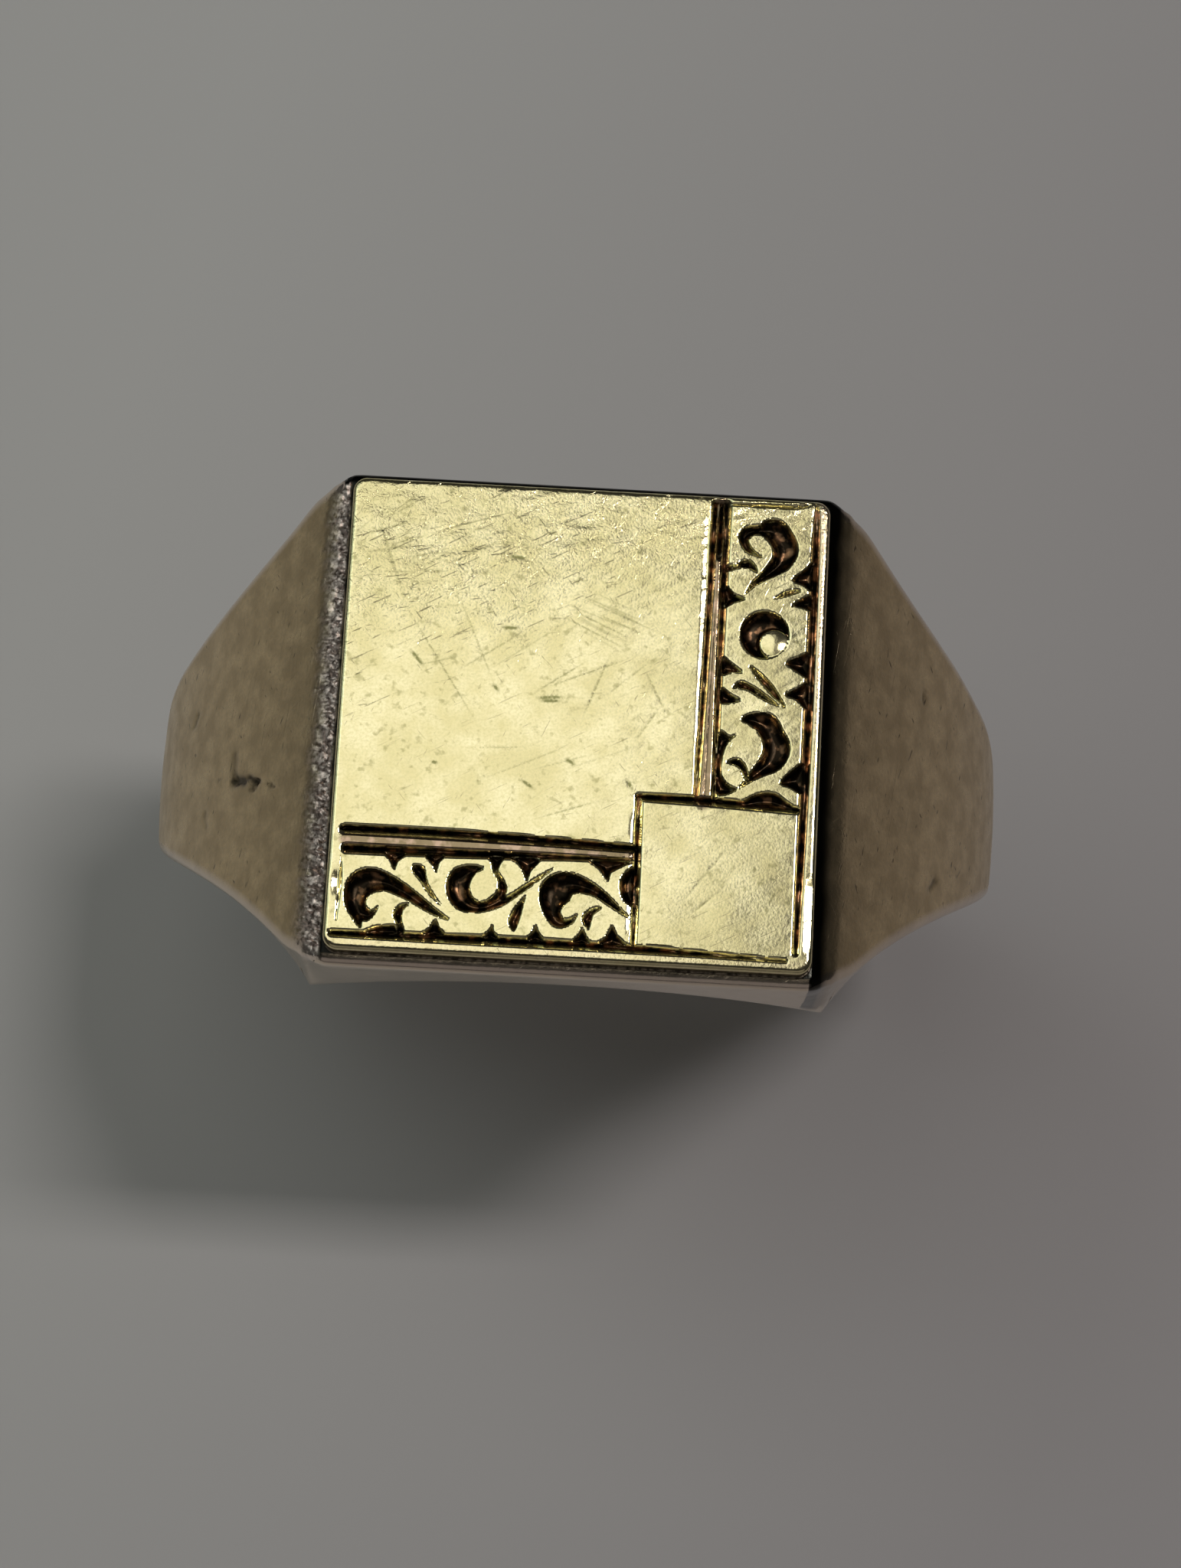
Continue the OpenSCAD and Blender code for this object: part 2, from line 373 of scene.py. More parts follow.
def plate_gold():
    """Pale satin gold, scuffed all over, with grime, painted shade and painted coppery glints in the
    engraving, and painted shade on the plate's sides.
    """
    look = Look("plate_gold")
    scuffs = look.plus(
        look.scratches(28, 0.7, 0.05, 0.7),
        look.scratches(10, 0.5, 0.05, 0.73, 3),
        look.scratches(66, 0.4, 0.05, 0.74, 7),
        look.scratches(-50, 0.5, 0.05, 0.74, 5),
    )
    grain = look.mottle(0.07, 4)
    cloud = look.mottle(0.9, 5)
    spots = look.band(look.mottle(0.22, 3, 4), 0.6, 0.72)
    patches = look.band(look.mottle(0.16, 3, 9), 0.3, 0.7, -0.08, 0.08)
    # Grime and painted shade in the cuts, and at the foot of the plate's sides.
    grime_and_shade = look.band(look.plus(look.attribute("cut_depth"), patches), 0.14, 0.46)
    color = look.mix(look.band(cloud, 0.36, 0.62), (0.93, 0.84, 0.5), (0.8, 0.71, 0.37))
    color = look.mix(look.band(grain, 0.4, 0.66, 0, 0.5), color, (0.66, 0.6, 0.3))
    color = look.mix(look.times(spots, 0.6), color, (0.36, 0.33, 0.14))
    color = look.mix(look.times(scuffs, 0.25), color, (0.4, 0.34, 0.17))
    color = look.mix(look.times(look.attribute("wrinkled"), 0.15), color, (0.56, 0.52, 0.24))
    # Painted coppery glints in the cuts; the same patches tint the scraped strips.
    copper = look.band(look.mottle(0.3, 2, 2), 0.5, 0.66)
    grime_shade_and_glints = look.mix(copper, (0.014, 0.01, 0.006), (0.22, 0.12, 0.06))
    worn = look.times(look.attribute("worn"), look.band(grain, 0.3, 0.6, 0.1, 0.7))
    color = look.mix(worn, color, (0.78, 0.58, 0.42))
    strip = look.mix(copper, (0.24, 0.17, 0.1), (0.5, 0.34, 0.25))
    color = look.mix(look.times(look.attribute("scraped"), 0.9), color, strip)
    # Scratches darken the table; on the plate's sides this colour is painted shade.
    color = look.mix(look.times(look.attribute("scratch_and_side_shade"), 0.8), color, (0.26, 0.25, 0.1))
    look.feed("Base Color", look.mix(grime_and_shade, color, grime_shade_and_glints))
    satin = look.band(cloud, 0.3, 0.7, 0.09, 0.16)
    look.feed("Roughness", look.plus(satin, look.times(grime_and_shade, 0.15)))
    rough = look.times(grain, look.band(worn, 0, 0.8, 1, 3))
    crowd = look.band(look.attribute("crowd"), 0.18, 0.8, 0.17, 1)
    look.relief(look.times(look.minus(rough, look.times(scuffs, 0.5)), crowd), 0.009)
    return look.material


def body_gold():
    """Darker worn gold: cloudy and finely scratched, filed or polished where it says so; painted sparkle
    and shade on the filed band, a painted dark reflection on the polished bevel, and grime, painted shade
    and painted dark reflection where it says so.
    """
    look = Look("body_gold")
    ticks = look.plus(look.scratches(75, 0.45, 0.09, 0.72, 1), look.scratches(115, 0.35, 0.08, 0.73, 4))
    hairs = look.plus(look.scratches(82, 2, 0.04, 0.68, 2), look.scratches(40, 1.2, 0.04, 0.71, 6))
    grain = look.mottle(0.1, 4)
    cloud = look.mottle(0.6, 4)
    filed = look.attribute("filed")
    polish_and_dark_reflection = look.attribute("polish_and_dark_reflection")
    side = look.attribute("side")
    color = look.mix(look.band(cloud, 0.36, 0.62), (0.77, 0.595, 0.35), (0.61, 0.465, 0.27))
    color = look.mix(look.band(grain, 0.4, 0.66, 0, 0.35), color, (0.5, 0.4, 0.26))
    color = look.mix(look.times(ticks, 0.7), color, (0.16, 0.13, 0.09))
    # The filed band keeps its own pinkish tone, with painted sparkle in the bright specks and painted shade
    # in the dark ones.
    sparkle_and_shade_specks = look.band(look.mottle(0.1, 3, 8), 0.34, 0.6)
    chatter = look.mix(sparkle_and_shade_specks, (0.15, 0.115, 0.095), (0.98, 0.8, 0.7))
    color = look.mix(look.times(filed, 0.95), color, chatter)
    # Painted dark reflection on the polished right bevel.
    color = look.mix(look.times(polish_and_dark_reflection, 0.9), color, (0.1, 0.085, 0.055))
    color = look.mix(look.times(side, 0.7), color, (0.86, 0.74, 0.64))
    # Grime, painted shade and painted dark reflection, near black.
    look.feed("Base Color", look.mix(look.attribute("grime_shade_and_dark_reflection"), color, (0.012, 0.012, 0.01)))
    worn = look.plus(look.band(cloud, 0.3, 0.7, 0.26, 0.38), look.times(filed, 0.08))
    bright = look.times(look.band(polish_and_dark_reflection, 0, 1, 1, 0.4), look.band(side, 0, 1, 1, 0.6))
    look.feed("Roughness", look.times(worn, bright))
    lines = look.plus(look.times(hairs, 0.45), ticks)
    rough = look.minus(look.times(grain, 1.3), lines)
    smooth = look.times(look.band(polish_and_dark_reflection, 0, 1, 1, 0.15), look.band(side, 0, 1, 1, 0.4))
    look.relief(look.times(rough, smooth), 0.006)
    return look.material


def solder_metal():
    """Dull dark solder with a pitted skin."""
    look = Look("solder")
    pits = look.mottle(0.12, 4)
    look.feed("Base Color", look.mix(look.band(pits, 0.4, 0.62), (0.06, 0.05, 0.035), (0.4, 0.33, 0.24)))
    look.feed("Roughness", look.band(pits, 0.3, 0.7, 0.36, 0.55))
    look.relief(pits, 0.02)
    return look.material


PLATE_GOLD = plate_gold()
BODY_GOLD = body_gold()
SOLDER = solder_metal()


# ----- Smooth random relief, the same on every run

def value_noise(points, seed):
    """Smooth noise from -1 to 1 at an array of points with two or three columns."""
    points = np.asarray(points, float)
    cell = np.floor(points).astype(np.int64)
    part = points - cell
    part = part * part * (3 - 2 * part)
    total = np.zeros(len(points))
    primes = (73856093, 19349663, 83492791)
    for corner in np.ndindex(*(2,) * points.shape[1]):
        key = np.full(len(points), seed * 1013, np.int64)
        weight = np.ones(len(points))
        for k, side in enumerate(corner):
            key ^= (cell[:, k] + side) * primes[k]
            weight *= part[:, k] if side else 1 - part[:, k]
        key = (key ^ (key >> 13)) * 1274126177 & 0x7FFFFFFF
        total += weight * ((key ^ (key >> 16)) % 65536 / 32767.5 - 1)
    return total


def noise_over(a, b, seed):
    """The same noise, over two coordinates."""
    return value_noise(np.stack([a, b], 1), seed)


# ----- The engraving, in millimetres on the table: x to the right, y up from the lower border

# Straight graver lines: stops as (x, y, width), and where across the line its bottom lies.
LINE_CUTS = [
    # between the plain field and the lower border
    ([(-5.62, -3.03, 0.3), (-3.2, -3.03, 0.32), (-0.6, -3.07, 0.28), (1.5, -3.13, 0.24)], 0.25),
    ([(-5.55, -3.49, 0.3), (-2.5, -3.46, 0.26), (0.2, -3.42, 0.18), (1.45, -3.41, 0.14)], 0.4),
    # between the plain field and the right border
    ([(3.14, 5.8, 0.26), (3.1, 4.4, 0.22), (3.05, 1.0, 0.2), (2.98, -1.85, 0.18)], 0.6),
    ([(3.38, 5.8, 0.32), (3.4, 4.4, 0.24), (3.4, 1.0, 0.2), (3.41, -1.85, 0.16)], 0.5),
    ([(3.26, 5.78, 0.3), (3.26, 5.0, 0.3), (3.24, 4.4, 0.16)], 0.5),
    # rim lines
    ([(-5.78, -5.62, 0.2), (-2.0, -5.6, 0.28), (1.5, -5.61, 0.24), (5.35, -5.7, 0.12)], 0.35),
    ([
        (5.66, 5.85, 0.12), (5.66, 4.5, 0.24), (5.65, 1.0, 0.25), (5.62, -2.0, 0.25), (5.58, -5.5, 0.18),
    ], 0.4),
    ([(-5.64, -3.62, 0.02), (-5.65, -4.4, 0.09), (-5.68, -5.3, 0.04)], 0.5),
    ([(3.52, 5.8, 0.08), (4.4, 5.81, 0.1), (5.1, 5.82, 0.12), (5.5, 5.9, 0.1)], 0.5),
    # frame of the corner square
    ([(1.58, -1.82, 0.22), (3.2, -1.84, 0.26), (5.45, -1.94, 0.22)], 0.25),
    ([(1.58, -1.82, 0.2), (1.6, -3.6, 0.22), (1.62, -5.5, 0.18)], 0.6),
]

# Broad shallow scrapes that join each pair of lines, and one along the right rim line.
SCRAPES = [
    [(-5.55, -3.26, 0.5), (-2.5, -3.25, 0.48), (0.2, -3.25, 0.42), (1.5, -3.27, 0.36)],
    [(3.27, 5.8, 0.5), (3.25, 4.4, 0.44), (3.22, 1.0, 0.46), (3.2, -1.85, 0.5)],
    [(5.66, 5.7, 0.24), (5.65, 1.0, 0.3), (5.62, -2.0, 0.3), (5.59, -5.3, 0.2)],
]

# Carved pockets of the lower border, as outlines.
LOWER_POCKETS = [
    # first scroll: tail, volute, spur and hook
    [
        (-2.89, -5.14), (-3.26, -4.88), (-3.68, -4.56), (-4.05, -4.3), (-4.42, -4.09), (-4.73, -3.97),
        (-5.0, -3.95), (-5.26, -4.04), (-5.46, -4.25), (-5.53, -4.5), (-5.52, -4.77), (-5.42, -5.04),
        (-5.08, -5.46), (-5.04, -5.28), (-4.92, -5.27), (-4.76, -5.12), (-4.66, -4.88), (-4.84, -5.0),
        (-4.97, -4.9), (-4.97, -4.72), (-4.81, -4.56), (-4.52, -4.51), (-4.26, -4.59), (-3.94, -4.72),
        (-3.6, -4.9), (-3.24, -5.06),
    ],
    # parting between the leaves
    [
        (-4.23, -4.9), (-4.08, -4.79), (-3.92, -4.79), (-4.06, -4.96), (-4.08, -5.22), (-3.98, -5.56),
        (-4.24, -5.56), (-4.21, -5.3), (-4.3, -5.08),
    ],
    # dart
    [
        (-3.9, -3.83), (-3.75, -3.8), (-3.6, -3.88), (-3.55, -4.09), (-3.46, -4.33), (-3.26, -4.62),
        (-3.08, -4.84), (-3.42, -4.56), (-3.68, -4.22), (-3.87, -4.0),
    ],
    # crescent of the ring pit, its channel round the ball and the tail up to the next scroll
    [
        (-2.14, -3.8), (-2.37, -3.74), (-2.63, -3.76), (-2.89, -3.88), (-3.02, -4.12), (-3.04, -4.38),
        (-2.94, -4.64), (-2.73, -4.86), (-2.4, -4.93), (-2.05, -4.88), (-1.68, -4.74), (-1.31, -4.47),
        (-1.0, -4.22), (-0.68, -3.94), (-0.42, -3.7), (-0.8, -3.93), (-1.12, -4.16), (-1.42, -4.38),
        (-1.57, -4.46), (-1.55, -4.27), (-1.66, -4.04), (-1.79, -3.85), (-1.7, -3.6), (-1.58, -3.44),
        (-2.12, -3.44), (-1.98, -3.64), (-1.92, -3.85), (-1.8, -4.06), (-1.77, -4.27), (-1.89, -4.48),
        (-2.1, -4.62), (-2.3, -4.61), (-2.43, -4.46), (-2.47, -4.25), (-2.4, -4.04), (-2.28, -3.9),
    ],
    # dart below the tail
    [
        (-1.08, -4.43), (-1.13, -4.69), (-1.18, -4.96), (-1.31, -5.33), (-1.46, -5.14), (-1.42, -4.91),
        (-1.26, -4.64),
    ],
    # last scroll
    [
        (1.48, -4.84), (1.21, -4.56), (0.9, -4.27), (0.58, -4.04), (0.27, -3.88), (0.0, -3.8),
        (-0.26, -3.8), (-0.52, -3.91), (-0.71, -4.12), (-0.76, -4.38), (-0.71, -4.64), (-0.58, -4.91),
        (-0.42, -5.12), (-0.21, -5.19), (0.0, -5.12), (0.16, -4.98), (0.21, -4.81), (0.06, -4.91),
        (-0.1, -4.95), (-0.21, -4.8), (-0.13, -4.62), (0.0, -4.48), (0.08, -4.33), (0.27, -4.3),
        (0.58, -4.35), (0.95, -4.56), (1.25, -4.74),
    ],
    # parting of the last leaf
    [(0.33, -4.96), (0.4, -4.77), (0.58, -4.64), (0.82, -4.61), (0.62, -4.79), (0.56, -4.96), (0.5, -5.19)],
    # half pit against the corner square
    [(1.6, -3.6), (1.37, -3.67), (1.24, -3.85), (1.2, -4.06), (1.27, -4.33), (1.4, -4.48), (1.6, -4.5)],
    # notches along the upper edge
    [(-4.66, -3.5), (-4.47, -3.74), (-4.34, -3.97), (-4.25, -3.74), (-4.02, -3.5)],
    [(-3.66, -3.5), (-3.42, -3.78), (-3.3, -3.98), (-3.25, -3.74), (-3.1, -3.5)],
    [(-1.6, -3.45), (-1.31, -3.66), (-1.18, -3.85), (-1.07, -4.08), (-0.98, -3.8), (-0.76, -3.45)],
    [(0.4, -3.42), (0.69, -3.68), (0.92, -3.96), (0.99, -3.74), (1.3, -3.55), (1.5, -3.42)],
    # notches along the lower edge
    [(-5.05, -5.6), (-4.78, -5.4), (-4.4, -5.34), (-4.2, -5.36), (-4.2, -5.6)],
    [(-3.66, -5.56), (-3.42, -5.38), (-3.26, -5.14), (-3.15, -5.33), (-2.98, -5.56)],
    [(-2.22, -5.56), (-1.97, -5.38), (-1.85, -5.18), (-1.8, -5.38), (-1.6, -5.56)],
    [(-1.06, -5.56), (-0.88, -5.34), (-0.8, -5.14), (-0.7, -5.34), (-0.54, -5.56)],
    [(0.06, -5.56), (0.25, -5.34), (0.34, -5.15), (0.47, -5.38), (0.62, -5.56)],
    [(0.7, -5.56), (0.93, -5.34), (1.07, -5.05), (1.2, -5.27), (1.34, -5.4), (1.48, -5.56)],
]

# Carved pockets of the right border.
RIGHT_POCKETS = [
    # first scroll with its hook
    [
        (4.38, 4.46), (4.12, 4.51), (3.91, 4.6), (3.77, 4.79), (3.72, 5.0), (3.83, 5.21), (4.02, 5.3),
        (4.23, 5.32), (4.38, 5.44), (4.62, 5.49), (4.87, 5.4), (5.04, 5.18), (5.18, 4.94), (5.24, 4.68),
        (5.16, 4.42), (4.97, 4.18), (4.7, 4.01), (4.44, 3.88), (4.17, 3.71), (3.94, 3.46), (4.08, 3.79),
        (4.28, 4.02), (4.46, 4.26), (4.59, 4.52), (4.57, 4.73), (4.44, 4.92), (4.25, 5.05), (4.08, 5.02),
        (3.98, 4.89), (4.06, 4.71), (4.22, 4.56),
    ],
    # round the leaf ball
    [
        (3.4, 4.26), (3.7, 4.25), (3.83, 4.37), (4.03, 4.39), (4.18, 4.25), (4.24, 4.06), (4.02, 4.16),
        (3.75, 4.15), (3.5, 4.06), (3.4, 4.1),
    ],
    [(3.42, 3.74), (3.66, 3.51), (3.96, 3.38), (3.66, 3.25), (3.42, 3.12)],
    # folds beside the small leaf
    [(5.66, 4.5), (5.44, 4.25), (5.1, 3.93), (5.38, 3.8), (5.66, 3.68)],
    [(4.68, 3.42), (4.91, 3.6), (5.17, 3.69), (5.36, 3.66), (5.02, 3.51)],
    [(5.66, 3.58), (5.38, 3.48), (5.12, 3.26), (5.38, 3.22), (5.66, 3.16)],
    # darts
    [
        (4.14, 1.68), (4.38, 1.54), (4.65, 1.3), (4.88, 1.0), (5.1, 0.62), (4.81, 0.86), (4.52, 1.16),
        (4.27, 1.45),
    ],
    [
        (3.74, 1.08), (3.94, 1.27), (4.23, 1.17), (4.54, 0.98), (4.96, 0.66), (4.49, 0.83), (4.14, 1.03),
        (3.9, 1.07),
    ],
    # last scroll
    [
        (4.0, 0.27), (4.12, 0.42), (4.38, 0.49), (4.7, 0.48), (4.92, 0.31), (5.06, 0.05), (5.21, -0.21),
        (5.24, -0.48), (5.13, -0.77), (4.92, -0.98), (4.65, -1.1), (4.33, -1.26), (4.0, -1.48),
        (4.17, -1.22), (4.33, -0.95), (4.49, -0.69), (4.57, -0.45), (4.54, -0.22), (4.41, -0.02),
        (4.23, 0.15),
    ],
    # hook
    [
        (3.68, -0.82), (3.81, -0.73), (3.97, -0.7), (4.13, -0.83), (4.23, -1.06), (4.2, -1.3),
        (4.08, -1.06), (3.94, -0.9),
    ],
    # notches along the inner edge
    [(3.42, 1.9), (3.66, 1.74), (3.98, 1.5), (3.7, 1.46), (3.42, 1.4)],
    [(3.42, 1.1), (3.7, 0.93), (3.97, 0.78), (3.66, 0.67), (3.42, 0.7)],
    [
        (3.42, -0.1), (3.73, -0.15), (3.9, -0.1), (3.7, -0.32), (3.6, -0.6), (3.56, -0.95), (3.6, -1.2),
        (3.76, -1.37), (3.97, -1.5), (3.42, -1.58),
    ],
    # notches along the rim
    [(5.66, 2.08), (5.33, 1.97), (5.04, 1.79), (5.28, 1.6), (5.66, 1.44)],
    [(5.66, 1.32), (5.33, 1.16), (5.04, 0.97), (5.33, 0.86), (5.66, 0.6)],
    [(5.66, -0.7), (5.33, -0.9), (5.02, -1.26), (5.28, -1.38), (5.66, -1.5)],
    # half moon over the corner square
    [(4.0, -1.92), (4.28, -1.66), (4.59, -1.52), (4.91, -1.52), (5.14, -1.66), (5.4, -1.92)],
]

RING_PIT = (4.48, 2.48, 0.62)  # the right border's round pit: middle and radius
BALL = (4.73, 2.25, 0.36)  # left standing in it
BALL_DOME = 0.03  # drop from its top to its edge

PIT_DEPTH = 0.26
LINE_DEPTH = 0.16
SCRAPE_DEPTH = 0.016
CUT_SLOPE = 2.4  # steepness of the pockets' walls


def smooth_through(stops, closed=False, steps=5):
    """Points along a smooth curve through stops of any number of columns."""
    stops = np.array(stops, float)
    if closed:
        ends = np.concatenate([stops[-1:], stops, stops[:2]])
    else:
        ends = np.concatenate([[2 * stops[0] - stops[1]], stops, [2 * stops[-1] - stops[-2]]])
    t = np.arange(steps)[:, None] / steps
    out = [
        b + t * (c - a) / 2
        + t ** 2 * (2 * a - 5 * b + 4 * c - d) / 2
        + t ** 3 * (3 * b - a - 3 * c + d) / 2
        for a, b, c, d in zip(ends, ends[1:], ends[2:], ends[3:])
    ]
    return np.concatenate(out if closed else out + [stops[-1:]])


def to_path(points, starts, runs):
    """Way from each piece of a path to each point, the nearest share along it and the distance."""
    way = points[:, None, :] - starts[None]
    t = np.clip((way * runs).sum(2) / (runs ** 2).sum(1), 0, 1)
    return way, t, np.linalg.norm(way - t[:, :, None] * runs, axis=2)


def to_segment(points, start, end):
    """Share along a segment of its nearest spot to each point, and the distance to it."""
    start, run = np.array(start), np.subtract(end, start)
    t = np.clip(((points - start) @ run) / (run @ run), 0, 1)
    return t, np.linalg.norm(points - start - t[:, None] * run, axis=1)


def line_depth(points, stops, lean, deepest):
    """Depth of a straight graver line; lean puts its bottom nearer one side."""
    path = smooth_through(stops)
    half = np.maximum(path[:, 2], 0.01) / 2
    run = np.diff(path[:, :2], axis=0)
    rel, t, gap = to_path(points, path[:-1, :2], run)
    r = half[:-1] + t * np.diff(half)
    best = (gap - r).argmin(1)
    row = np.arange(len(points))
    cross = rel[row, best, 1] * run[best, 0] - rel[row, best, 0] * run[best, 1]
    gap, r = gap[row, best], r[row, best]
    across = np.clip(np.sign(cross) * gap / r * 0.5 + 0.5, 0, 1)
    side = np.where(across < 1 - lean, across / (1 - lean), (1 - across) / lean)
    return np.where(gap < r, side * np.minimum(deepest, r * 1.4), 0)


def wall_depth(inside):
    """Depth of a carved pocket, a distance in from its outline: a steep wall, then a hollow."""
    return PIT_DEPTH * (1 - np.exp(-np.clip(inside, 0, None) * CUT_SLOPE / PIT_DEPTH))


def pocket_depth(points, outline):
    """Depth of one carved pocket at each point."""
    path = smooth_through(outline, closed=True, steps=4)
    after = np.roll(path, -1, 0)
    run = after - path
    gap = to_path(points, path, run)[2].min(1)
    y = points[:, 1:2]
    spans = (path[:, 1] > y) != (after[:, 1] > y)
    x_at = path[:, 0] + (y - path[:, 1]) / np.where(run[:, 1] == 0, 1e-9, run[:, 1]) * run[:, 0]
    inside = (spans & (points[:, :1] < x_at)).sum(1) % 2 == 1
    return wall_depth(np.where(inside, gap, 0))


# Worn facets that lean to the right: low corner, high corner and slope.
WORN_FACETS = [
    ((-5.92, -4.8), (-5.7, -3.9), 0.205),
    ((5.75, -5.6), (5.93, -3.5), 0.145),
    ((1.4, -5.35), (1.52, -2.1), 0.165),
    ((2.86, -1.6), (2.97, 5.6), 0.155),
]


def facet_depth(points):
    """How far the worn facets lie below the table."""
    x, y = points.T
    depth = np.zeros(len(points))
    for low, high, slope in WORN_FACETS:
        across = (x - low[0]) * ((x > low[0]) & (x < high[0]))
        along = np.clip(np.minimum(y - low[1], high[1] - y) / 0.35, 0, 1)
        depth = np.maximum(depth, slope * across * along)
    return depth


def near_box(points, stops, margin):
    """Indices of the points close to a cut, so that each cut is worked out only there."""
    stops = np.array(stops)[:, :2]
    low, high = stops.min(0) - margin, stops.max(0) + margin
    return np.flatnonzero(((points > low) & (points < high)).all(1))


def engraving_depth(points):
    """Depth of the whole engraving at each point of the table."""
    depth = np.zeros(len(points))
    lines = [(stops, lean, LINE_DEPTH) for stops, lean in LINE_CUTS]
    lines += [(stops, 0.5, SCRAPE_DEPTH) for stops in SCRAPES]
    for stops, lean, deepest in lines:
        near = near_box(points, stops, 0.3)
        depth[near] = np.maximum(depth[near], line_depth(points[near], stops, lean, deepest))
    for outline in LOWER_POCKETS + RIGHT_POCKETS:
        near = near_box(points, outline, 0.1)
        depth[near] = np.maximum(depth[near], pocket_depth(points[near], outline))
    gap = np.linalg.norm(points - RING_PIT[:2], axis=1)
    depth = np.maximum(depth, wall_depth(RING_PIT[2] - gap))
    gap = np.linalg.norm(points - BALL[:2], axis=1)
    dome = BALL_DOME * np.clip(gap / BALL[2], 0, 1) ** 2 + CUT_SLOPE * np.clip(gap - BALL[2], 0, None)
    return np.where(gap < BALL[2] + 0.12, np.minimum(depth, dome), depth)


# Scratches on the plain field: two ends, how many side by side and how far they spread.
SCRATCH_GROUPS = [
    ((-0.3, 3.25), (1.7, 2.5), 7, 0.3),
    ((-0.6, 2.7), (1.3, 1.8), 6, 0.3),
    ((-4.0, 3.7), (-1.7, 4.9), 3, 0.15),
    ((-4.0, 4.6), (-1.9, 5.3), 2, 0.1),
    ((-5.4, 5.2), (-4.5, 2.8), 2, 0.05),
    ((-4.4, 2.6), (-2.6, -0.1), 1, 0.0),
    ((-3.1, 2.9), (-2.2, 0.9), 1, 0.0),
    ((1.55, 1.4), (2.1, 0.4), 1, 0.0),
    ((-5.3, 4.4), (-4.2, 5.0), 12, 0.9),
    ((-4.6, 3.4), (-3.6, 3.8), 9, 1.2),
    ((-2.0, 0.2), (-0.6, 1.0), 8, 2.6),
    ((-1.0, -1.2), (0.6, 0.4), 6, 2.2),
    ((2.2, -4.4), (3.6, -3.0), 2, 0.8),
]
# Short deep nicks: two ends.
NICKS = [
    ((-4.3, 1.6), (-3.95, 1.2)),
    ((-1.1, 0.55), (-0.45, 0.6)),
    ((-1.0, 0.48), (-0.5, 0.5)),
    ((-2.05, 2.3), (-1.65, 2.3)),
    ((-2.0, 4.15), (-1.55, 4.1)),
    ((1.25, -1.4), (1.4, -1.65)),
    ((-1.35, -1.55), (-1.05, -1.75)),
    ((-0.3, -0.95), (-0.05, -1.1)),
    ((-2.2, 0.85), (-2.05, 0.65)),
    ((-3.6, -1.2), (-3.45, -1.25)),
]
SCRATCH_HALF_W = 0.03
SCRATCH_DEPTH = 0.002
NICK_HALF_W = 0.055
NICK_DEPTH = 0.004


def lay_scratches():
    """Start, end, depth and half width of every scratch on the plain field and corner square."""
    rng = np.random.default_rng(11)
    out = []
    for start, end, count, spread in SCRATCH_GROUPS:
        for _ in range(count):
            shift = rng.normal(0, 1, 2) * spread * 0.6
            swing = rng.normal(0, 1, (2, 2)) * spread * 0.15
            keep = rng.uniform(0.55, 1.0) if count > 1 else 1.0
            middle = (np.array(start) + end) / 2 + shift
            half = (np.array(end) - start) / 2 * keep
            ends = (middle - half + swing[0], middle + half + swing[1])
            out.append((*ends, SCRATCH_DEPTH * rng.uniform(0.4, 1.0), SCRATCH_HALF_W))
    out += [(np.array(a), np.array(b), NICK_DEPTH, NICK_HALF_W) for a, b in NICKS]
    return out


SCRATCHES = lay_scratches()


def scratch_points():
    """Extra points along each scratch: its bottom and both lips."""
    out = []
    for start, end, _, half in SCRATCHES:
        run = end - start
        length = np.linalg.norm(run)
        side = np.array([-run[1], run[0]]) / length * half
        t = np.linspace(0, 1, max(3, int(length / 0.09)))[:, None]
        for share in (-1, 0, 1):
            out.append(start + t * run + share * side)
    return np.concatenate(out)


def scratch_depth(points):
    """Depth of the scratches and nicks at each point."""
    depth = np.zeros(len(points))
    for start, end, deep, half in SCRATCHES:
        t, gap = to_segment(points, start, end)
        taper = np.clip(4 * np.minimum(t, 1 - t), 0.2, 1)
        depth = np.maximum(depth, deep * taper * np.clip(1 - gap / half, 0, 1))
    return depth


def wrinkles_at(points):
    """Short slanting wrinkles of the table that crowd towards its far left: height and crowding."""
    x, y = points.T
    slant = math.radians(24)
    along = x * math.cos(slant) + y * math.sin(slant)
    across = y * math.cos(slant) - x * math.sin(slant)
    wrinkles = noise_over(along * 2.4, across * 7, 21)
    wrinkles += 0.6 * noise_over(along * 4.5, across * 10 + along, 22)
    calm = np.where(inside_box(points, *CORNER_SQUARE), 0.05, 0.18)
    crowd = calm + 0.82 * np.clip((y - 0.4 * x - 2.0 + value_noise(points * 0.6, 23)) / 3.5, 0, 1)
    return wrinkles, crowd


def worn_rim(points):
    """Where the outer rim beyond its line is rubbed pinkish, from 0 to 1."""
    x, y = points.T
    share = np.where(x > -y, np.clip((y + 1) / 2, 0.25, 1), 0.35)
    return share * np.clip((np.maximum(x, -y) - 5.68) / 0.06, 0, 1) * (facet_depth(points) == 0)


def scraped_strips(points):
    """The brown strips along the scrapes, from 0 to 1."""
    strips = np.zeros(len(points))
    for stops in SCRAPES:
        near = near_box(points, stops, 0.3)
        strips[near] = line_depth(points[near], stops, 0.5, SCRAPE_DEPTH) / SCRAPE_DEPTH
    return np.clip(strips * 2, 0, 1)


# ----- The plate

PLATE_CORNER_R = 0.35
TABLE_WEAR = 0.01  # how far the worn table lies below the new one
BOX_MARGIN = 0.002  # and never nearer to it than this
SIDE_DROP = 0.25  # from the table to the middle row of the sides
PLATE_EDGE_R = 0.12
EDGE_INSETS = (0, 0.012, 0.04, 0.08, 0.13)  # rows of points that round the edge
EDGE_BAND = 0.17  # kept clear of other points
FINE_STEP = 0.03
COARSE_STEP = 0.065
CORNER_SQUARE = ((1.8, 5.36), (-5.5, -2.1))  # its plain middle, in x and in y


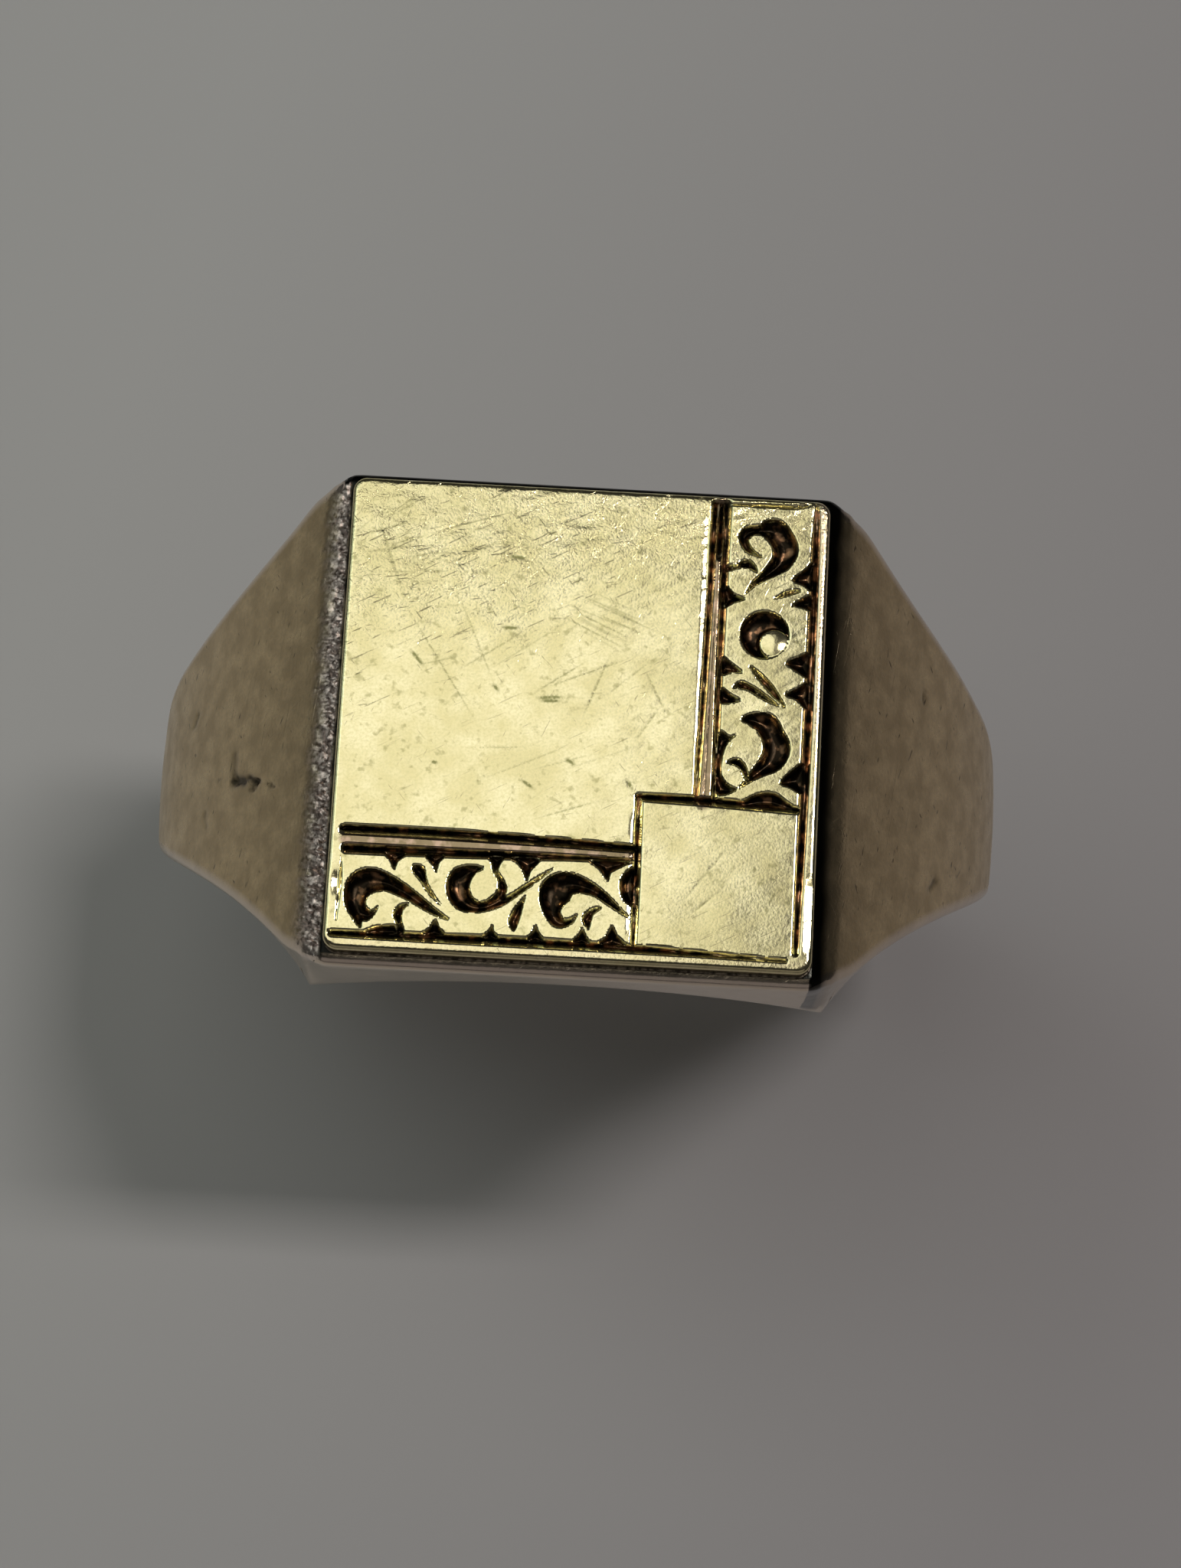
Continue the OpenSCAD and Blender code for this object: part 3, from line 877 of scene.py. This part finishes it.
def plate_outline(inset, step):
    """Points round the plate, a distance in from its edge, anticlockwise."""
    half = PLATE_HALF - inset
    r = PLATE_CORNER_R - inset * 0.6
    points = []
    for k in range(4):
        turn = k * math.pi / 2
        side = np.linspace(-(half - r), half - r, int((half - r) * 2 / step))
        edge = np.stack([np.full(len(side), half), side], 1)
        t = np.linspace(0, math.pi / 2, max(6, int(r * 1.6 / step)))[1:-1]
        arc = half - r + r * np.stack([np.cos(t), np.sin(t)], 1)
        c, s = math.cos(turn), math.sin(turn)
        points.append(np.concatenate([edge, arc]) @ np.array([[c, s], [-s, c]]))
    return np.concatenate(points)


def grid_points(reach, step):
    """Points of a square grid over the table, as far as a reach on each side."""
    x = np.arange(-reach, reach + step / 2, step)
    return np.stack(np.meshgrid(x, x), -1).reshape(-1, 2)


def inside_box(points, x_range, y_range):
    low, high = zip(x_range, y_range)
    return ((points > low) & (points < high)).all(1)


def engraved_band(points):
    """Which points lie in the borders and their lines, where the mesh is fine."""
    lower = points[:, 1] < -2.8
    right = points[:, 0] > 2.75
    plain = inside_box(points, *CORNER_SQUARE)
    return (lower | right | inside_box(points, (1.4, 6), (-6, -1.6))) & ~plain


def plate_top_points():
    """Where the plate's upper surface is sampled: closely at the engraving and the edge."""
    rings = [plate_outline(inset, 0.06) for inset in EDGE_INSETS]
    reach = PLATE_HALF - EDGE_BAND
    fine = grid_points(reach, FINE_STEP)
    marks = scratch_points()
    coarse = np.concatenate([grid_points(reach, COARSE_STEP), marks[(np.abs(marks) < reach).all(1)]])
    inner = np.concatenate([fine[engraved_band(fine)], coarse[~engraved_band(coarse)]])
    corner = np.abs(inner) - (PLATE_HALF - PLATE_CORNER_R)
    in_corner = (corner > 0).all(1)
    cut_off = in_corner & (np.linalg.norm(corner, axis=1) > PLATE_CORNER_R - EDGE_BAND)
    return rings, inner[~cut_off]


def make_plate():
    """The engraved plate: a fine top surface over plain sides and a flat back."""
    rings, inner = plate_top_points()
    flat = np.concatenate(rings + [inner])
    jitter = np.random.default_rng(7).normal(0, 1e-5, flat.shape)
    jitter[: len(rings[0])] = 0
    flat = flat + jitter
    _, _, faces, _, _, _ = delaunay_2d_cdt([Vector(p) for p in flat], [], [], 0, 1e-7)
    insets = np.concatenate(
        [np.full(len(ring), inset) for ring, inset in zip(rings, EDGE_INSETS)]
        + [np.full(len(inner), 1.0)]
    )
    from_edge = np.clip(PLATE_EDGE_R - insets, 0, None)
    rounding = PLATE_EDGE_R - np.sqrt(PLATE_EDGE_R ** 2 - from_edge ** 2)
    depth = engraving_depth(flat)
    scratch_and_side_shade = scratch_depth(flat)
    wrinkles, crowd = wrinkles_at(flat)
    wave = 0.004 * value_noise(flat * 0.35, 3) + 0.002 * value_noise(flat * 1.3, 5)
    wave += 0.008 * crowd * wrinkles
    worn_flat = TABLE_Z + np.minimum(wave - TABLE_WEAR, -BOX_MARGIN)
    z = worn_flat - depth - rounding - scratch_and_side_shade - facet_depth(flat)
    top = np.column_stack([flat, z])
    rim = rings[0]
    n_rim, n_top = len(rim), len(flat)
    sides = [np.column_stack([rim, np.full(n_rim, TABLE_Z - drop)]) for drop in (SIDE_DROP, PLATE_T)]
    verts = np.concatenate([top] + sides)
    faces = [tuple(f) for f in faces]
    starts = (0, n_top, n_top + n_rim)
    for upper, lower in zip(starts, starts[1:]):
        for k in range(n_rim):
            n = (k + 1) % n_rim
            faces.append((upper + n, upper + k, lower + k, lower + n))
    faces.append(tuple(starts[2] + k for k in reversed(range(n_rim))))
    piece = make_piece("engraved_plate", verts, faces, PLATE_GOLD, "table_plate", 60)
    foot = np.repeat([0, 1], n_rim)
    for name, on_top, on_side in (
        # On the plate's sides these first two are no cuts or scratches: they paint grime and shade at the
        # foot, and shade over the whole side.
        ("cut_depth", depth / PIT_DEPTH, 0.4 * foot),
        ("scratch_and_side_shade", scratch_and_side_shade / SCRATCH_DEPTH, 0.7 + 0.3 * foot),
        ("worn", worn_rim(flat), 0 * foot),
        ("scraped", scraped_strips(flat), 0 * foot),
        ("crowd", crowd, 0.2 + 0 * foot),
        ("wrinkled", crowd * np.clip(0.5 - 0.8 * wrinkles, 0, 1), 0 * foot),
    ):
        set_attribute(piece, name, np.concatenate([on_top, on_side]))


# ----- Head and shank

# Old knocks on the shoulders: two ends as (y, z), half width, depth and side.
KNOCKS = [
    ((-0.5, 8.3), (-1.2, 8.35), 0.08, 0.04, -1),
    ((-1.22, 8.35), (-1.3, 8.75), 0.13, 0.1, -1),
    ((-1.2, 8.95), (-1.38, 9.3), 0.08, 0.08, -1),
    ((-1.38, 9.3), (-1.6, 9.2), 0.07, 0.07, -1),
    ((-1.5, 9.8), (-1.62, 9.95), 0.05, 0.06, -1),
    ((-1.8, 6.9), (-2.2, 7.0), 0.07, 0.03, -1),
    ((1.0, 6.0), (0.7, 5.8), 0.08, 0.04, -1),
    ((2.2, 8.2), (1.9, 8.3), 0.07, 0.04, 1),
    ((-2.6, 7.3), (-2.9, 7.6), 0.08, 0.05, 1),
]
SHOULDER_OUT = np.array([0.88, 0.47])  # the way a shoulder faces, in x and z
SHOULDER_WEAR = 0.012
KNOCK_FULL_DARK_DEPTH = 0.09  # depth at which a knock is painted fully dark
FILED_W = 0.8  # width of the filed band on the left bevel
FILED_FADE = 0.42  # over which it runs out
FOOT_DARK_FRONT = 0.085  # how far the grime and painted shade reach from the plate in front, and on its other sides
FOOT_DARK_ROUND = 0.1  # and on its other sides


def knock_depth(side, y, z):
    """How far the shoulder on one side is dented at places (y, z)."""
    depth = np.zeros(len(y))
    spot = np.stack([y, z], 1)
    for start, end, half, deep, on in KNOCKS:
        _, gap = to_segment(spot, start, end)
        ragged = half * (1 + 0.45 * value_noise(spot * 9, 61))
        depth += np.where(side == on, deep * np.exp(-(gap / ragged) ** 2), 0)
    return depth


def dent_shoulders(verts):
    """Press the knocks and some even wear into the shoulders. Gives the knocks' depth."""
    x, y, z = verts.T
    depth = np.where(np.hypot(x, z) > FINGER_R + 0.6, knock_depth(np.sign(x), y, z), 0)
    wear = SHOULDER_WEAR * (1 + value_noise(verts * 0.8, 31)) * (z > 0)
    verts[:, 0] -= (depth + wear) * SHOULDER_OUT[0] * np.sign(x)
    verts[:, 2] -= (depth + wear) * SHOULDER_OUT[1] * (np.abs(x) > HEAD_HALF_L)
    return depth


def file_left_bevel(verts):
    """Coarse file chatter on the left bevel, wider towards the lower side. Gives its strength."""
    x, y, z = verts.T
    out = -PLATE_HALF - x
    width = FILED_W - 0.012 * y
    ragged = width + 0.08 * noise_over(y * 6, z * 0, 41)
    on_top = (z > SHOULDER_Z - 0.5) & (np.abs(y) < HEAD_HALF_W - 0.12)
    strength = np.clip((out - 0.08) / 0.05, 0, 1) * np.clip((ragged - out) / FILED_FADE, 0, 1) * on_top
    slant = y + 0.4 * x
    coarse = noise_over(x * 3, slant * 8, 42)
    fine = noise_over(x * 8, slant * 19, 43)
    verts[:, 2] += strength * (0.026 * coarse + 0.04 * fine - 0.026)
    verts[:, 0] += strength * 0.03 * noise_over(x * 12, y * 12, 44)
    return strength


def set_attribute(piece, name, values):
    data = piece.data.attributes.new(name, "FLOAT", "POINT").data
    data.foreach_set("value", np.ascontiguousarray(values, np.float32))


def grime_and_shade_near_plate(verts):
    """Grime and painted shade round the foot of the plate, painted black on the ledge behind it, a painted
    dark reflection over the right bevel and a little painted shade over the right shoulder, from 0 to 1.
    """
    x, y, z = verts.T
    beside = x - PLATE_HALF
    gap = np.maximum(np.abs(x), np.abs(y)) - PLATE_HALF
    ragged = np.where(y < -PLATE_HALF, FOOT_DARK_FRONT, FOOT_DARK_ROUND) + 0.03 * noise_over(x * 3, y * 3, 52)
    # Grime and painted shade in the gap at the plate's foot.
    foot = 1.2 * np.exp(-(np.clip(gap, 0, None) / ragged) ** 4) * (gap > -0.3)
    solid = 0.16 + 0.15 * (y / HEAD_HALF_W) ** 4 + 0.06 * noise_over(y * 2, z * 0, 53)
    grainy = 0.3 + 0.1 * noise_over(x * 9, y * 5, 54)
    # Painted dark reflection over the right bevel.
    bloom = 0.95 * np.exp(-np.clip(beside - solid, 0, None) / grainy) * (beside > 0)
    # A little painted shade over the right shoulder.
    right_shoulder_shade = 0.06 * (x > HEAD_HALF_L)
    # Painted black on the ledge behind the plate.
    far_ledge = 1.0 * (y > PLATE_HALF) * (z > SHOULDER_Z) * (np.abs(x) < PLATE_HALF + 0.3)
    grime_and_shade = np.maximum(np.maximum(foot, far_ledge), np.maximum(bloom, right_shoulder_shade))
    return np.clip(grime_and_shade, 0, 1) * (z > SHOULDER_Z - 3)


def on_side_wall(verts):
    """Where the flat sides of the ring are, which rubbed smoother than its face, from 0 to 1."""
    x, y, z = verts.T
    w = outer_half_width(np.minimum(np.arctan2(z, np.abs(x)), SHOULDER_ANGLE)) - corner_wear(x, z)
    return np.clip((np.abs(y) - w + 0.33) / 0.2, 0, 1)


def polish_and_dark_reflection_on_bevel(verts):
    """Where the right bevel is polished bright and painted with a dark reflection of the room, from 0 to 1.
    """
    x, y, z = verts.T
    beside = x - PLATE_HALF
    return np.clip((0.45 - beside) / 0.25, 0, 1) * (beside > 0) * (z > SHOULDER_Z - 0.6)


def make_head():
    """The head and both shoulders, down to the two shank joints."""
    points, own, b = head_outline()
    right = np.array([section_loop(p, a, c) for p, a, c in zip(points, own, b)])
    verts, faces = loft(np.concatenate([mirrored(right), right]))
    side = on_side_wall(verts)
    filed = file_left_bevel(verts)
    knocks = dent_shoulders(verts)
    # Knocks are painted darker with their depth.
    grime_shade_and_dark_reflection = np.maximum(grime_and_shade_near_plate(verts), np.clip(knocks / KNOCK_FULL_DARK_DEPTH, 0, 0.85))
    piece = make_piece("ring_head", verts, faces, BODY_GOLD, "head")
    set_attribute(piece, "side", side)
    set_attribute(piece, "filed", filed)
    set_attribute(piece, "grime_shade_and_dark_reflection", grime_shade_and_dark_reflection)
    set_attribute(piece, "polish_and_dark_reflection", polish_and_dark_reflection_on_bevel(verts))


def make_shank():
    """The band behind the finger, between the two joints."""
    points, own, b = shank_outline()
    right = np.array([section_loop(p, a, c, 60) for p, a, c in zip(points, own, b)])
    left = right[:-1][::-1] * (-1, 1, 1)
    verts, faces = loft(np.concatenate([right, left]))
    piece = make_piece("ring_shank", verts, faces, BODY_GOLD, "shank")
    set_attribute(piece, "side", on_side_wall(verts))


# ----- Solder

def make_seam(name, side):
    """The film of solder across the joint on one side, standing a hair proud of the band."""
    a = -SEAM_ANGLE + SEAM_HALF_ANGLE * np.array([1, 0.5, 0, -0.5, -1])
    proud = np.array([0, 0.008, 0.012, 0.008, 0])
    r = outer_radius(a) + proud
    points = np.stack([r * np.cos(a), r * np.sin(a)], 1)
    loops = np.array([section_loop(p, angle, angle, 60) for p, angle in zip(points, a)])
    if side < 0:
        loops = loops[::-1] * (-1, 1, 1)
    verts, faces = loft(loops)
    make_piece(name, verts, faces, SOLDER, name.replace("_bead", ""))


def bead_tree(name):
    """Geometry nodes: a lumpy bead swept along a closed path, joined to the film it edges."""
    tree = bpy.data.node_groups.new(name, "GeometryNodeTree")
    for socket, way, kind in (
        ("Film", "INPUT", "Geometry"), ("Path", "INPUT", "Object"), ("Bead radius", "INPUT", "Float"),
        ("Lump size", "INPUT", "Float"), ("Unevenness", "INPUT", "Float"), ("Metal", "INPUT", "Material"),
        ("Solder", "OUTPUT", "Geometry"),
    ):
        tree.interface.new_socket(socket, in_out=way, socket_type="NodeSocket" + kind)
    given = tree.nodes.new("NodeGroupInput").outputs

    def step(kind, inputs, **settings):
        return add_node(tree, kind, inputs, **settings).outputs

    spot = step("GeometryNodeInputPosition", {})[0]
    lumps = step("ShaderNodeTexNoise", {"Vector": spot, "Scale": given["Lump size"], "Detail": 2.0})
    centred = {0: lumps["Color"], 1: (0.5, 0.5, 0.5)}
    wander = step("ShaderNodeVectorMath", centred, operation="SUBTRACT")[0]
    offset = step("ShaderNodeVectorMath", {0: wander, "Scale": given["Unevenness"]}, operation="SCALE")[0]
    path = step("GeometryNodeObjectInfo", {"Object": given["Path"]}, transform_space="ORIGINAL")
    moved = step("GeometryNodeSetPosition", {"Geometry": path["Geometry"], "Offset": offset})[0]
    swell = step("ShaderNodeMath", {0: lumps[0], 1: 0.5}, operation="ADD")[0]
    sized = step("GeometryNodeSetCurveRadius", {"Curve": moved, "Radius": swell})[0]
    round_wire = {"Resolution": 8, "Radius": given["Bead radius"]}
    ring = step("GeometryNodeCurvePrimitiveCircle", round_wire, mode="RADIUS")["Curve"]
    swept = {"Curve": sized, "Profile Curve": ring, "Fill Caps": True}
    bead = step("GeometryNodeCurveToMesh", swept)[0]
    joined = tree.nodes.new("GeometryNodeJoinGeometry")
    tree.links.new(given["Film"], joined.inputs[0])
    tree.links.new(bead, joined.inputs[0])
    real = step("GeometryNodeRealizeInstances", {"Geometry": joined.outputs[0]})[0]
    metal = step("GeometryNodeSetMaterial", {"Geometry": real, "Material": given["Metal"]})[0]
    tree.links.new(metal, tree.nodes.new("NodeGroupOutput").inputs[0])
    return tree


def film_mesh(name, outline, z_low, z_high):
    """A closed flat slab on an outline."""
    n = len(outline)
    low = np.column_stack([outline, np.full(n, z_low)])
    high = np.column_stack([outline, np.full(n, z_high)])
    faces = [(k, (k + 1) % n, n + (k + 1) % n, n + k) for k in range(n)]
    faces += [tuple(reversed(range(n))), tuple(range(n, 2 * n))]
    return new_mesh(name, np.concatenate([low, high]), faces)


def path_curve(name, points):
    """A closed curve object through millimetre points."""
    curve = bpy.data.curves.new(name, "CURVE")
    curve.dimensions = "3D"
    spline = curve.splines.new("POLY")
    spline.points.add(len(points) - 1)
    for point, place in zip(spline.points, points):
        point.co = (*(np.array(place) * MM), 1)
    spline.use_cyclic_u = True
    return add_object(name, curve)


def set_inputs(modifier, values):
    for item in modifier.node_group.interface.items_tree:
        if item.in_out == "INPUT" and item.name in values:
            modifier[item.identifier] = values[item.name]


def make_plate_solder():
    """The film under the plate, with the bead that squeezed out round its foot."""
    film = film_mesh("plate_solder_film", plate_outline(0.1, 0.3), BODY_TOP, BODY_TOP + SOLDER_T)
    holder = add_object("plate_solder_film", film)
    bead_z = BODY_TOP + SOLDER_T / 2
    path = path_curve("bead_path", [(x, y, bead_z) for x, y in plate_outline(0.01, 0.06)])
    modifier = holder.modifiers.new("bead", "NODES")
    modifier.node_group = bead_tree("solder_bead")
    set_inputs(modifier, {
        "Path": path, "Bead radius": 0.045 * MM, "Lump size": 2500.0, "Unevenness": 0.05 * MM,
        "Metal": SOLDER,
    })
    graph = bpy.context.evaluated_depsgraph_get()
    mesh = bpy.data.meshes.new_from_object(holder.evaluated_get(graph))
    bpy.data.objects.remove(holder)
    bpy.data.objects.remove(path)
    stand_for(add_object("plate_solder_bead", mesh), "plate_solder")


make_head()
make_shank()
make_plate()
make_plate_solder()
make_seam("left_seam_solder_bead", -1)
make_seam("right_seam_solder_bead", 1)


# ----- Floor, lights and camera

LIGHT_DISTANCE = 0.4


def make_floor():
    """A plain pale floor under the ring, with painted shade that darkens it a little to its right."""
    size = 0.6
    z = CAD_BOX[0][2]
    mesh = bpy.data.meshes.new("floor")
    corners = [(-size, -size, z), (size, -size, z), (size, size, z), (-size, size, z)]
    mesh.from_pydata(corners, [], [(0, 1, 2, 3)])
    look = Look("floor_card", metallic=0)
    split = add_node(look.tree, "ShaderNodeSeparateXYZ", {0: look.place}).outputs
    # Painted shade: the floor's colour darkens towards its right.
    dimmer = look.band(look.minus(split[0], look.times(split[1], 0.3)), -0.02, 0.02)
    look.feed("Base Color", look.mix(dimmer, (0.6, 0.598, 0.565), (0.45, 0.43, 0.42)))
    look.shader.inputs["Roughness"].default_value = 0.9
    mesh.materials.append(look.material)
    add_object("floor", mesh)


def add_softbox(name, slope, size, power, color):
    """An area light facing the ring from above, leaning by its slopes towards +X and +Y."""
    light = bpy.data.lights.new(name, "AREA")
    light.shape = "RECTANGLE"
    light.size, light.size_y = size
    light.energy = power
    light.color = color
    way = Vector((*slope, 1)).normalized()
    side = (Vector((1, 0, 0)) - way * way.x).normalized()
    lamp = add_object(name, light)
    lamp.location = way * LIGHT_DISTANCE
    lamp.rotation_euler = Matrix((side, way.cross(side), way)).transposed().to_euler()


def make_camera():
    """A close view from above the table, a little from the front."""
    data = bpy.data.cameras.new("camera")
    data.lens = 79.1
    data.sensor_width = 36
    data.clip_start = 0.001
    camera = add_object("camera", data)
    eye = Vector((0.44, -18.5, 95.54)) * MM
    aim = Vector((0.35, -1.56, 12.2)) * MM
    roll = math.radians(2.84)
    look = (aim - eye).to_track_quat("-Z", "Y").to_matrix()
    camera.rotation_euler = (look @ Matrix.Rotation(roll, 3, "Z")).to_euler()
    camera.location = eye
    bpy.context.scene.camera = camera


def make_world():
    """A dim grey room."""
    world = bpy.data.worlds.new("room")
    world.use_nodes = True
    world.node_tree.nodes["Background"].inputs["Color"].default_value = (0.03, 0.03, 0.03, 1)
    bpy.context.scene.world = world


make_floor()
make_world()
add_softbox("key_tube", (0.37, 0.19), (0.1, 0.03), 0.4, (1, 0.95, 0.96))
add_softbox("ceiling_panel", (-0.26, 0.2), (0.26, 0.22), 0.195, (1, 1, 0.97))
add_softbox("left_window", (-0.95, 0.4), (0.3, 0.24), 0.13, (0.85, 1, 1))
add_softbox("front_card", (0, -1.7), (0.6, 0.34), 0.08, (1, 0.93, 0.93))
make_camera()
bpy.context.scene.view_settings.view_transform = "Standard"
